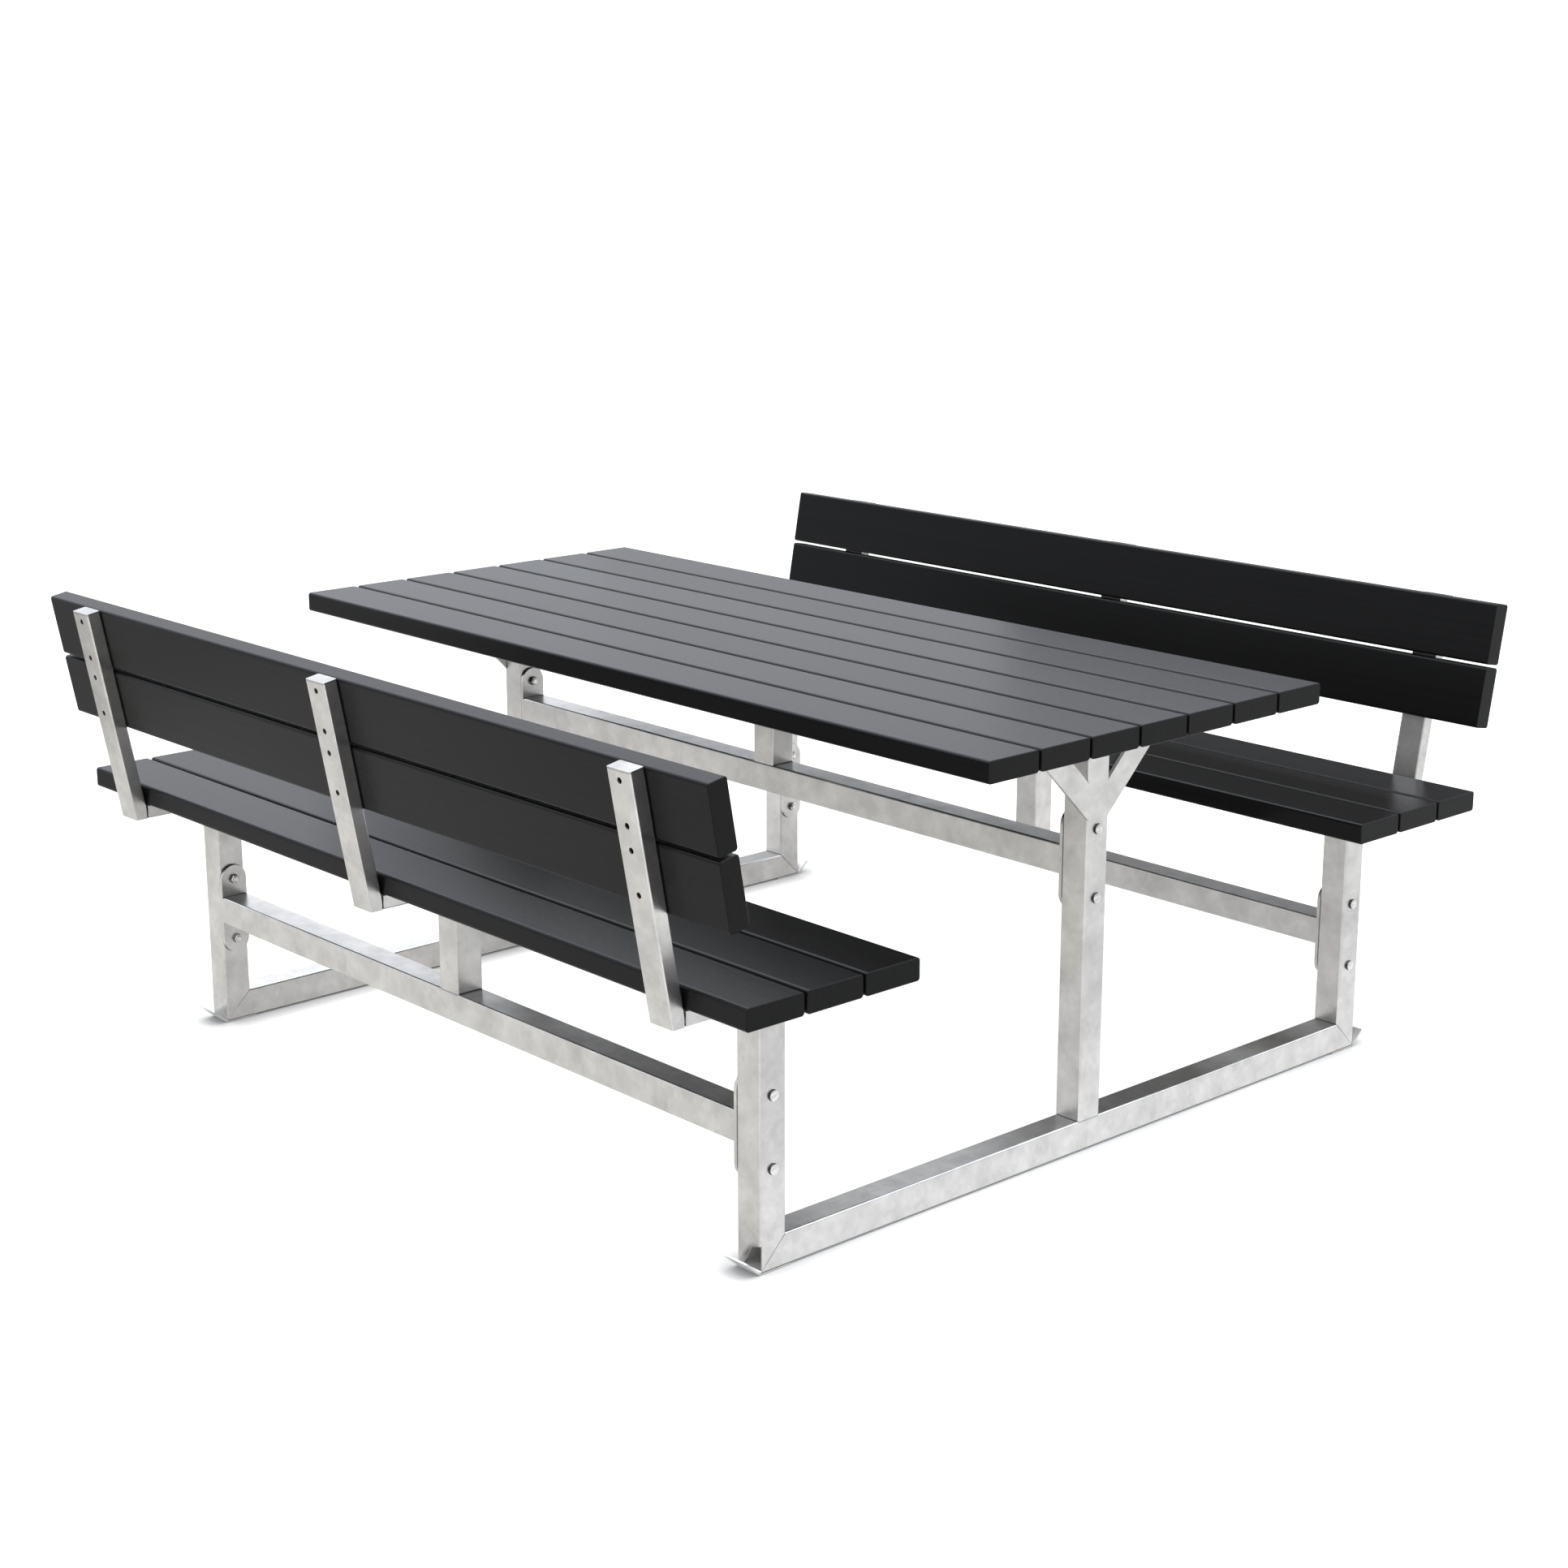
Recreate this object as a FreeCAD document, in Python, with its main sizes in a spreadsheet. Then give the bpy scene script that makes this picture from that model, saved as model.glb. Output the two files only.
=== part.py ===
import FreeCAD, Part
import math
import os
import Sketcher

# Picnic table with two benches with backs: dark planks on a bolted frame of square steel tube.
# X runs along the planks, Y across the set and Z up. The floor is Z = 0, below the middle of the set.
# The left bench is on the -Y side, and the near end frame is at +X. All sizes are in millimetres.

TABLE_PLANKS = 7
SEAT_PLANKS = 3
BACK_PLANKS = 2

DIMENSIONS = {
    # planks
    "plank_length": 1770,
    "plank_width": 106,
    "plank_thickness": 35,
    "plank_gap": 5,
    "plank_edge_radius": 5,
    "plank_end_chamfer": 1,
    # heights and the lie of the benches
    "table_height": 735,
    "seat_height": 473,
    "seat_rear": 847,
    "seat_clearance": 1,
    "back_tilt": 10.4,
    "back_start": 145,
    # square tube of the end frames, beams and posts
    "tube_size": 50,
    "tube_wall": 3,
    "tube_corner": 3.5,
    "mitre_bevel": 0.8,
    "end_overhang": 127.5,
    "leg_setback": 137,
    "seat_beam_height": 215.5,
    "table_beam_height": 481,
    # flat tube of the bearers and back uprights
    "bearer_width": 50,
    "bearer_depth": 25,
    "bearer_wall": 2.5,
    "bearer_corner": 3,
    "table_bearer_inset": 36,
    "seat_bearer_inset": 26,
    "bearer_taper": 55,
    "bearer_nose": 6,
    "seam_gap": 3,
    "cap_thickness": 3,
    # flat bar struts under the table
    "strut_width": 42,
    "strut_thickness": 6,
    "strut_reach": 118,
    # foot plates with their bent tabs, and the drain cut in a leg's foot
    "foot_thickness": 3,
    "foot_length": 60,
    "foot_tab": 37,
    "foot_angle": 42,
    "drain_width": 42,
    "drain_height": 42,
    "drain_slope": 20,
    "drain_shoulder": 36,
    # bolted ends of the beams
    "end_plate_thickness": 6,
    "bolt_spread": 113,
    "bolt_size": 12,
    "bolt_clearance": 1,
    "bolt_head_size": 16,
    "bolt_head_height": 5,
    "bolt_head_bevel": 2,
    "bolt_tail": 4,
    "nut_width": 19,
    "nut_height": 10,
    "thread_clearance": 0.4,
    # holes behind the plank screws: access for the head in the outer wall, clearance in the wall by the plank
    "access_hole": 9.5,
    "screw_hole": 5.5,
    "back_screw_pair": 66,
    "lower_screw_drop": 7,
    "upper_screw_drop": 16,
}

doc = FreeCAD.newDocument("picnic_table")
sheet = doc.addObject("Spreadsheet::Sheet", "dims")
for row, (alias, size) in enumerate(DIMENSIONS.items(), start=1):
    sheet.set(f"A{row}", alias)
    sheet.set(f"B{row}", str(size))
    sheet.setAlias(f"B{row}", alias)
doc.recompute()

# Levels, stations and fits, worked out from the sheet.
TABLE_UNDERSIDE = "(dims.table_height - dims.plank_thickness)"
TABLE_LEG_TOP = f"({TABLE_UNDERSIDE} - dims.bearer_depth)"
SEAT_UNDERSIDE = "(dims.seat_height - dims.plank_thickness)"
SEAT_LEG_TOP = f"({SEAT_UNDERSIDE} - dims.bearer_depth)"
RAIL_TOP = "(dims.foot_thickness + dims.tube_size)"
HALF_TUBE = "(dims.tube_size / 2)"
LEG_OUTER = "(dims.seat_rear - dims.leg_setback)"
LEG_CENTRE = f"({LEG_OUTER} - {HALF_TUBE})"
END_FACE = "(dims.plank_length / 2 - dims.end_overhang)"
END_STATION = f"({END_FACE} - {HALF_TUBE})"
PLATE_SEAT = f"({END_FACE} - dims.tube_size)"
BEAM_LENGTH = f"(2 * {PLATE_SEAT} - 2 * dims.end_plate_thickness)"
UPRIGHT_FOOT = "(dims.seat_rear + dims.seat_clearance)"
TABLE_WIDTH = f"({TABLE_PLANKS} * dims.plank_width + {TABLE_PLANKS - 1} * dims.plank_gap)"
SEAT_WIDTH = f"({SEAT_PLANKS} * dims.plank_width + {SEAT_PLANKS - 1} * dims.plank_gap)"
BACK_REACH = f"(dims.back_start + {BACK_PLANKS} * dims.plank_width + {BACK_PLANKS - 1} * dims.plank_gap)"
PLANK_PITCH = "(dims.plank_width + dims.plank_gap)"
BOLT_HOLE = "(dims.bolt_size + dims.bolt_clearance)"

STATIONS = {"near": END_STATION, "middle": "0", "far": f"(-{END_STATION})"}
SIDES = {"left": ("-1", "0"), "right": ("1", "180")}
X_AXIS = FreeCAD.Vector(1, 0, 0)
Y_AXIS = FreeCAD.Vector(0, 1, 0)
Z_AXIS = FreeCAD.Vector(0, 0, 1)
pieces = []


def place(x="0", y="0", z="0", turn="0", tilt="0"):
    """A placement: tilted about X, then turned about Z, then moved."""
    rotation = f"rotation(vector(0; 0; 1); {turn}) * rotation(vector(1; 0; 0); {tilt})"
    return f"placement(vector({x}; {y}; {z}); {rotation})"


def keep(piece, placement=None):
    """Set a sub-part's place and list it for export."""
    if placement:
        piece.setExpression("Placement", placement)
    pieces.append(piece)
    return piece


def origin_feature(body, role):
    return next(feature for feature in body.Origin.OriginFeatures if feature.Role == role)


def new_sketch(body, name, plane):
    sketch = body.newObject("Sketcher::SketchObject", name)
    sketch.AttachmentSupport = (origin_feature(body, plane), [""])
    sketch.MapMode = "FlatFace"
    return sketch


def fix_point(sketch, geometry, point, across, up):
    """Hold one point of a sketch at two distances from the sketch's origin."""
    for kind, distance in (("DistanceX", across), ("DistanceY", up)):
        index = sketch.addConstraint(Sketcher.Constraint(kind, -1, 1, geometry, point, 1.0))
        sketch.setExpression(f"Constraints[{index}]", distance)


def draw_polygon(sketch, corners):
    """Straight-sided outline through corners that are given as pairs of expressions."""
    count = len(corners)
    first = sketch.GeometryCount
    turns = [2 * math.pi * step / count for step in range(count)]
    start = [FreeCAD.Vector(math.cos(turn), math.sin(turn), 0) for turn in turns]
    for step in range(count):
        sketch.addGeometry(Part.LineSegment(start[step], start[(step + 1) % count]), False)
    for step in range(count):
        following = first + (step + 1) % count
        sketch.addConstraint(Sketcher.Constraint("Coincident", first + step, 2, following, 1))
    for step, (across, up) in enumerate(corners):
        fix_point(sketch, first + step, 1, across, up)


def draw_rectangle(sketch, left, low, right, high):
    draw_polygon(sketch, [(left, low), (right, low), (right, high), (left, high)])


def draw_circle(sketch, across, up, diameter):
    circle = sketch.addGeometry(Part.Circle(FreeCAD.Vector(), Z_AXIS, 1.0), False)
    fix_point(sketch, circle, 3, across, up)
    index = sketch.addConstraint(Sketcher.Constraint("Diameter", circle, 2.0))
    sketch.setExpression(f"Constraints[{index}]", diameter)


def new_body(label):
    body = doc.addObject("PartDesign::Body", label)
    body.Label = label
    return body


def pad(body, sketch, length, symmetric=True):
    feature = body.newObject("PartDesign::Pad", f"{sketch.Name}_pad")
    feature.Profile = sketch
    feature.setExpression("Length", length)
    feature.SideType = "Symmetric" if symmetric else "One side"
    doc.recompute()
    return feature


def cut(body, sketch, depth=None, symmetric=True):
    """Pocket from a sketch, right through the piece unless a depth is given; it has to remove material."""
    before = body.Shape.Volume
    feature = body.newObject("PartDesign::Pocket", f"{sketch.Name}_cut")
    feature.Profile = sketch
    feature.SideType = "Symmetric" if symmetric else "One side"
    if depth:
        feature.setExpression("Length", depth)
    else:
        feature.Type = "ThroughAll"
    doc.recompute()
    if body.Shape.Volume >= before:
        raise RuntimeError(f"{body.Label}: {feature.Name} removes nothing")
    return feature


def dress(body, kind, size_name, size, chosen):
    """Fillet or chamfer the edges of the body's last feature that a test picks."""
    base = body.Tip
    edges = [f"Edge{number}" for number, edge in enumerate(base.Shape.Edges, start=1) if chosen(edge)]
    feature = body.newObject(kind, f"{body.Name}_{size_name.lower()}")
    feature.Base = (base, edges)
    feature.setExpression(size_name, size)
    doc.recompute()
    return feature


def runs_along(axis):
    def chosen(edge):
        ends = [vertex.Point for vertex in edge.Vertexes]
        return len(ends) == 2 and (ends[1] - ends[0]).normalize().cross(axis).Length < 1e-6
    return chosen


def lies_at(axis, offset):
    def chosen(edge):
        return all(abs(vertex.Point.dot(axis) - offset) < 1e-6 for vertex in edge.Vertexes)
    return chosen


def side_edges_at(axis, offset):
    """Pick the edges of an end cut that lie in the tube's side faces."""
    on_cut = lies_at(axis, offset)
    across = runs_along(X_AXIS)
    return lambda edge: on_cut(edge) and not across(edge)


def straight_tube(label, plane, axis, across, up, length, wall, corner, symmetric=True):
    """Rectangular tube along an axis, its section centred on the body's origin."""
    body = new_body(label)
    section = new_sketch(body, f"{label}_section", plane)
    draw_rectangle(section, f"-{across} / 2", f"-{up} / 2", f"{across} / 2", f"{up} / 2")
    pad(body, section, length, symmetric)
    dress(body, "PartDesign::Fillet", "Radius", corner, runs_along(axis))
    bore = new_sketch(body, f"{label}_bore", plane)
    half_across = f"({across} / 2 - {wall})"
    half_up = f"({up} / 2 - {wall})"
    draw_rectangle(bore, f"-{half_across}", f"-{half_up}", half_across, half_up)
    cut(body, bore)
    return body


def profiled_tube(label, outline, axis, width, wall, corner, bore_box, mitres=()):
    """Tube drawn by its side view, so that its ends can be cut at an angle; mitred edges are bevelled."""
    body = new_body(label)
    side = new_sketch(body, f"{label}_side", "YZ_Plane")
    draw_polygon(side, outline)
    pad(body, side, width)
    for chosen in mitres:
        dress(body, "PartDesign::Chamfer", "Size", "dims.mitre_bevel", chosen)
    dress(body, "PartDesign::Fillet", "Radius", corner, runs_along(axis))
    bore = new_sketch(body, f"{label}_bore", "YZ_Plane")
    draw_rectangle(bore, *bore_box)
    cut(body, bore, f"{width} - 2 * {wall}")
    return body


def drill_across(body, name, holes, diameter):
    """Round holes right through a piece along X, at places in its side view."""
    sketch = new_sketch(body, f"{body.Name}_{name}", "YZ_Plane")
    for across, up in holes:
        draw_circle(sketch, across, up, diameter)
    cut(body, sketch)


def drill_for_screws(body, plane, holes, access_level):
    """Clearance holes for plank screws through a bearer, widened in its outer wall for the screw heads."""
    clearance = new_sketch(body, f"{body.Name}_screw_holes", plane)
    for across, up in holes:
        draw_circle(clearance, across, up, "dims.screw_hole")
    cut(body, clearance)
    access = new_sketch(body, f"{body.Name}_access_holes", plane)
    access.setExpression("AttachmentOffset.Base.z", access_level)
    for across, up in holes:
        draw_circle(access, across, up, "dims.access_hole")
    cut(body, access, "dims.bearer_wall", symmetric=False)


def copies(label, template, placements):
    """A group of like pieces that share one node."""
    links = []
    for number, placement in enumerate(placements, start=1):
        link = doc.addObject("App::Link", f"{label}_{number}")
        link.LinkedObject = template
        link.setExpression("Placement", placement)
        links.append(link)
    group = doc.addObject("Part::Compound", label)
    group.Label = label
    group.Links = links
    return keep(group)


# Planks: one profile for the table, the seats and the backs, with rounded long edges.
def make_plank(label, placement):
    body = new_body(label)
    section = new_sketch(body, f"{label}_section", "YZ_Plane")
    draw_rectangle(section, "-dims.plank_width / 2", "0", "dims.plank_width / 2", "dims.plank_thickness")
    pad(body, section, "dims.plank_length")
    dress(body, "PartDesign::Fillet", "Radius", "dims.plank_edge_radius", runs_along(X_AXIS))
    half_length = sheet.get("plank_length") / 2
    for end in (-half_length, half_length):
        dress(body, "PartDesign::Chamfer", "Size", "dims.plank_end_chamfer", lies_at(X_AXIS, end))
    return keep(body, placement)


def table_plank_centre(number):
    return f"({number} - {(TABLE_PLANKS + 1) / 2}) * {PLANK_PITCH}"


for number in range(1, TABLE_PLANKS + 1):
    make_plank(f"table_plank_{number}", place(y=table_plank_centre(number), z=TABLE_UNDERSIDE))

for side, (sign, turn) in SIDES.items():
    for number in range(1, SEAT_PLANKS + 1):
        offset = f"{sign} * (dims.seat_rear - dims.plank_width / 2 - {number - 1} * {PLANK_PITCH})"
        make_plank(f"{side}_seat_plank_{number}", place(y=offset, z=SEAT_UNDERSIDE))
    for number in range(1, BACK_PLANKS + 1):
        along = f"(dims.back_start + dims.plank_width / 2 + {number - 1} * {PLANK_PITCH})"
        offset = f"{sign} * ({UPRIGHT_FOOT} + {along} * sin(dims.back_tilt))"
        height = f"{SEAT_UNDERSIDE} + {along} * cos(dims.back_tilt)"
        make_plank(f"{side}_back_plank_{number}",
                   place(y=offset, z=height, turn=turn, tilt="dims.back_tilt - 90"))


# End frames: a floor rail mitred into two seat legs, with the table leg standing on its middle.
def make_rail(label, placement):
    outline = [(f"-{LEG_OUTER}", "dims.foot_thickness"), (LEG_OUTER, "dims.foot_thickness"),
               (f"{LEG_OUTER} - dims.tube_size", RAIL_TOP), (f"dims.tube_size - {LEG_OUTER}", RAIL_TOP)]
    bore_box = (f"-{LEG_OUTER}", "dims.foot_thickness + dims.tube_wall",
                LEG_OUTER, f"{RAIL_TOP} - dims.tube_wall")
    reach = sheet.get("seat_rear") - sheet.get("leg_setback") + sheet.get("foot_thickness")
    mitres = [side_edges_at(FreeCAD.Vector(0, sign, 1), reach) for sign in (-1, 1)]
    rail = profiled_tube(label, outline, Y_AXIS, "dims.tube_size", "dims.tube_wall",
                         "dims.tube_corner", bore_box, mitres)
    return keep(rail, placement)


def bolt_heights(beam_height):
    return [f"{beam_height} + dims.bolt_spread / 2", f"{beam_height} - dims.bolt_spread / 2"]


# The seat leg's outer face lies on its own origin plane; a drained leg has a cut there beside its end corner.
def make_seat_leg(label, placement, drained):
    outline = [("0", "dims.foot_thickness"), ("dims.tube_size", RAIL_TOP),
               ("dims.tube_size", SEAT_LEG_TOP), ("0", SEAT_LEG_TOP)]
    bore_box = ("dims.tube_wall", "0", "dims.tube_size - dims.tube_wall", SEAT_LEG_TOP)
    mitre = side_edges_at(FreeCAD.Vector(0, -1, 1), sheet.get("foot_thickness"))
    leg = profiled_tube(label, outline, Z_AXIS, "dims.tube_size", "dims.tube_wall",
                        "dims.tube_corner", bore_box, [mitre])
    holes = [(HALF_TUBE, height) for height in bolt_heights("dims.seat_beam_height")]
    drill_across(leg, "bolt_holes", holes, BOLT_HOLE)
    if drained:
        drain = new_sketch(leg, f"{label}_drain", "XZ_Plane")
        draw_polygon(drain, [
            (f"{HALF_TUBE} - dims.drain_width", "0"),
            (HALF_TUBE, "0"),
            (HALF_TUBE, "dims.foot_thickness + dims.drain_height"),
            (f"{HALF_TUBE} - dims.drain_slope", "dims.foot_thickness + dims.drain_shoulder"),
        ])
        cut(leg, drain, "dims.tube_wall", symmetric=False)
    return keep(leg, placement)


def make_table_leg(label, placement):
    leg = straight_tube(label, "XY_Plane", Z_AXIS, "dims.tube_size", "dims.tube_size",
                        f"{TABLE_LEG_TOP} - {RAIL_TOP}", "dims.tube_wall", "dims.tube_corner",
                        symmetric=False)
    holes = [("0", f"{height} - {RAIL_TOP}") for height in bolt_heights("dims.table_beam_height")]
    drill_across(leg, "bolt_holes", holes, BOLT_HOLE)
    return keep(leg, placement)


# Struts: two flat bars at 45 degrees, flush with the table leg's outer face and welded to its sides.
def make_struts(label, table_leg, placement):
    body = new_body(f"{label}_bars")
    side = new_sketch(body, f"{label}_side", "YZ_Plane")
    reach = "dims.strut_reach"
    rise = "dims.strut_width * sqrt(2)"
    for sign in ("-1", "1"):
        draw_polygon(side, [
            (f"{sign} * ({HALF_TUBE} - dims.tube_wall)", f"-{reach} - dims.tube_wall"),
            (f"{sign} * ({HALF_TUBE} + {reach})", "0"),
            (f"{sign} * ({HALF_TUBE} + {reach} - {rise})", "0"),
            (f"{sign} * ({HALF_TUBE} - dims.tube_wall)", f"-{reach} - dims.tube_wall + {rise}"),
        ])
    bars = pad(body, side, "dims.strut_thickness", symmetric=False)
    bars.Reversed = True
    body.setExpression("Placement", placement)
    doc.recompute()
    struts = doc.addObject("Part::Cut", label)
    struts.Label = label
    struts.Base = body
    struts.Tool = table_leg
    return keep(struts)


# Foot plate: a strip under the rail's corner whose outer end is bent up.
def make_foot_plate():
    body = new_body("foot_plate")
    side = new_sketch(body, "foot_plate_side", "YZ_Plane")
    thickness = "dims.foot_thickness"
    tip = ("-dims.foot_tab * cos(dims.foot_angle)", "dims.foot_tab * sin(dims.foot_angle)")
    draw_polygon(side, [
        ("dims.foot_length", "0"),
        ("0", "0"),
        tip,
        (f"{tip[0]} + {thickness} * sin(dims.foot_angle)", f"{tip[1]} + {thickness} * cos(dims.foot_angle)"),
        (f"{thickness} * tan(dims.foot_angle / 2)", thickness),
        ("dims.foot_length", thickness),
    ])
    pad(body, side, "dims.tube_size")
    return body


foot_plate = make_foot_plate()
for end, turn in (("near", "0"), ("far", "180")):
    station = STATIONS[end]
    make_rail(f"{end}_floor_rail", place(x=station))
    for side, (sign, leg_turn) in SIDES.items():
        make_seat_leg(f"{end}_{side}_seat_leg", place(x=station, y=f"{sign} * {LEG_OUTER}", turn=leg_turn),
                      drained=(leg_turn == turn))
    table_leg = make_table_leg(f"{end}_table_leg", place(x=station, z=RAIL_TOP, turn=turn))
    outer_face = END_FACE if end == "near" else f"-{END_FACE}"
    make_struts(f"{end}_table_struts", table_leg, place(x=outer_face, z=TABLE_LEG_TOP, turn=turn))
    copies(f"{end}_foot_plates", foot_plate,
           [place(x=station, y=f"{sign} * {LEG_OUTER}", turn=foot_turn)
            for sign, foot_turn in SIDES.values()])


# Bearers: flat tubes on the legs and posts that carry the planks, their free ends cut at a slope.
# Both lie with their top face at Z = 0 of their own frame.
def make_table_bearer(label, placement):
    half = f"({TABLE_WIDTH} / 2 - dims.table_bearer_inset)"
    outline = [(f"dims.bearer_taper - {half}", "-dims.bearer_depth"),
               (f"{half} - dims.bearer_taper", "-dims.bearer_depth"),
               (half, "-dims.bearer_nose"), (half, "0"),
               (f"-{half}", "0"), (f"-{half}", "-dims.bearer_nose")]
    bore_box = (f"-{half}", "dims.bearer_wall - dims.bearer_depth", half, "-dims.bearer_wall")
    bearer = profiled_tube(label, outline, Y_AXIS, "dims.bearer_width", "dims.bearer_wall",
                           "dims.bearer_corner", bore_box)
    holes = [("0", table_plank_centre(number)) for number in range(1, TABLE_PLANKS + 1)]
    drill_for_screws(bearer, "XY_Plane", holes, "dims.bearer_wall - dims.bearer_depth")
    return keep(bearer, placement)


# The seat bearer's top and bottom walls meet the back upright; its side walls stop short of it.
def make_seat_bearer(label, placement):
    length = f"({SEAT_WIDTH} + dims.seat_clearance - dims.seat_bearer_inset)"
    outline = [("0", "-dims.bearer_depth"), (f"{length} - dims.bearer_taper", "-dims.bearer_depth"),
               (length, "-dims.bearer_nose"), (length, "0"), ("0", "0")]
    bore_box = ("0", "dims.bearer_wall - dims.bearer_depth", length, "-dims.bearer_wall")
    bearer = profiled_tube(label, outline, Y_AXIS, "dims.bearer_width", "dims.bearer_wall",
                           "dims.bearer_corner", bore_box)
    seam = new_sketch(bearer, f"{label}_seam", "YZ_Plane")
    draw_rectangle(seam, "0", "dims.bearer_wall - dims.bearer_depth", "dims.seam_gap", "-dims.bearer_wall")
    cut(bearer, seam)
    holes = [("0", f"dims.seat_clearance + dims.plank_width / 2 + {number} * {PLANK_PITCH}")
             for number in range(SEAT_PLANKS)]
    drill_for_screws(bearer, "XY_Plane", holes, "dims.bearer_wall - dims.bearer_depth")
    return keep(bearer, placement)


# The back upright leans back; its foot is cut upright against the seat bearer and level below.
# In its own frame Z runs up the lean and the planks lie on the face at Y = 0.
def make_back_upright(label, placement):
    depth = "dims.bearer_depth"
    tilt = "dims.back_tilt"
    top = f"({BACK_REACH} - dims.cap_thickness)"
    outline = [("0", top), ("0", "0"),
               (f"-{depth} * sin({tilt})", f"-{depth} * cos({tilt})"),
               (f"-{depth}", f"{depth} * (sin({tilt}) - 1) / cos({tilt})"),
               (f"-{depth}", top)]
    bore_box = (f"dims.bearer_wall - {depth}", f"-{depth}", "-dims.bearer_wall", top)
    upright = profiled_tube(label, outline, Z_AXIS, "dims.bearer_width", "dims.bearer_wall",
                            "dims.bearer_corner", bore_box)
    holes = []
    for number, drop in enumerate(("dims.lower_screw_drop", "dims.upper_screw_drop")):
        plank_top = f"dims.back_start + dims.plank_width + {number} * {PLANK_PITCH}"
        holes += [("0", f"{plank_top} - {drop}"), ("0", f"{plank_top} - {drop} - dims.back_screw_pair")]
    drill_for_screws(upright, "XZ_Plane", holes, depth)
    return keep(upright, placement)


def make_cap():
    body = new_body("upright_cap")
    outline = new_sketch(body, "upright_cap_outline", "XY_Plane")
    draw_rectangle(outline, "-dims.bearer_width / 2", "-dims.bearer_depth", "dims.bearer_width / 2", "0")
    pad(body, outline, "dims.cap_thickness", symmetric=False)
    dress(body, "PartDesign::Fillet", "Radius", "dims.bearer_corner", runs_along(Z_AXIS))
    return body


cap_places = []
for end, station in STATIONS.items():
    make_table_bearer(f"{end}_table_bearer", place(x=station, z=TABLE_UNDERSIDE))
    for side, (sign, turn) in SIDES.items():
        foot = f"{sign} * {UPRIGHT_FOOT}"
        make_seat_bearer(f"{side}_{end}_seat_bearer", place(x=station, y=foot, z=SEAT_UNDERSIDE, turn=turn))
        make_back_upright(f"{side}_{end}_back_upright",
                          place(x=station, y=foot, z=SEAT_UNDERSIDE, turn=turn, tilt="dims.back_tilt"))
        cap_reach = f"({BACK_REACH} - dims.cap_thickness)"
        cap_places.append(place(x=station, y=f"{sign} * ({UPRIGHT_FOOT} + {cap_reach} * sin(dims.back_tilt))",
                                z=f"{SEAT_UNDERSIDE} + {cap_reach} * cos(dims.back_tilt)",
                                turn=turn, tilt="dims.back_tilt"))
copies("back_upright_caps", make_cap(), cap_places)


# Long beams between the end frames, each with a plate at both ends and a post at its middle.
def make_beam(label, placement):
    beam = straight_tube(label, "YZ_Plane", X_AXIS, "dims.tube_size", "dims.tube_size",
                         BEAM_LENGTH, "dims.tube_wall", "dims.tube_corner")
    return keep(beam, placement)


def make_middle_post(label, placement, height):
    post = straight_tube(label, "XY_Plane", Z_AXIS, "dims.tube_size", "dims.tube_size",
                         height, "dims.tube_wall", "dims.tube_corner", symmetric=False)
    return keep(post, placement)


def make_end_plate():
    body = new_body("beam_end_plate")
    bolt_rows = [f"{sign} * dims.bolt_spread / 2" for sign in ("-1", "1")]
    middle = new_sketch(body, "beam_end_plate_middle", "YZ_Plane")
    draw_rectangle(middle, f"-{HALF_TUBE}", bolt_rows[0], HALF_TUBE, bolt_rows[1])
    pad(body, middle, "dims.end_plate_thickness", symmetric=False)
    ends = new_sketch(body, "beam_end_plate_ends", "YZ_Plane")
    for row in bolt_rows:
        draw_circle(ends, "0", row, "dims.tube_size")
    pad(body, ends, "dims.end_plate_thickness", symmetric=False)
    drill_across(body, "bolt_holes", [("0", row) for row in bolt_rows], BOLT_HOLE)
    return body


# Bolt along X with a bevelled round head; its shank starts under the head at X = 0 and points to -X.
def make_bolt():
    body = new_body("frame_bolt")
    half = new_sketch(body, "frame_bolt_half", "XZ_Plane")
    tip = "-(dims.tube_size + dims.end_plate_thickness + dims.nut_height + dims.bolt_tail)"
    draw_polygon(half, [(tip, "0"), ("dims.bolt_head_height", "0"),
                        ("dims.bolt_head_height", "dims.bolt_head_size / 2"),
                        ("0", "dims.bolt_head_size / 2"),
                        ("0", "dims.bolt_size / 2"), (tip, "dims.bolt_size / 2")])
    turned = body.newObject("PartDesign::Revolution", "frame_bolt_turned")
    turned.Profile = half
    turned.ReferenceAxis = (origin_feature(body, "X_Axis"), [""])
    turned.Angle = 360
    doc.recompute()
    head_face = sheet.get("bolt_head_height")
    dress(body, "PartDesign::Chamfer", "Size", "dims.bolt_head_bevel", lies_at(X_AXIS, head_face))
    return body


def make_nut():
    body = new_body("frame_nut")
    hexagon = new_sketch(body, "frame_nut_hexagon", "YZ_Plane")
    corner = "dims.nut_width / sqrt(3)"
    draw_polygon(hexagon, [(f"{corner} * sin({angle})", f"{corner} * cos({angle})")
                           for angle in range(0, 360, 60)])
    draw_circle(hexagon, "0", "0", "dims.bolt_size + dims.thread_clearance")
    pad(body, hexagon, "dims.nut_height", symmetric=False)
    return body


BEAMS = {"left": (f"-{LEG_CENTRE}", "dims.seat_beam_height", SEAT_LEG_TOP),
         "table": ("0", "dims.table_beam_height", TABLE_LEG_TOP),
         "right": (LEG_CENTRE, "dims.seat_beam_height", SEAT_LEG_TOP)}
ENDS = (("1", "0"), ("-1", "180"))


def at_bolts(distance):
    """Places of all the bolts, at a distance out from the frame's middle and facing outwards at both ends."""
    return [place(x=f"{sign} * ({distance})", y=across, z=height, turn=turn)
            for across, beam_height, top in BEAMS.values()
            for height in bolt_heights(beam_height)
            for sign, turn in ENDS]


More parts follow.
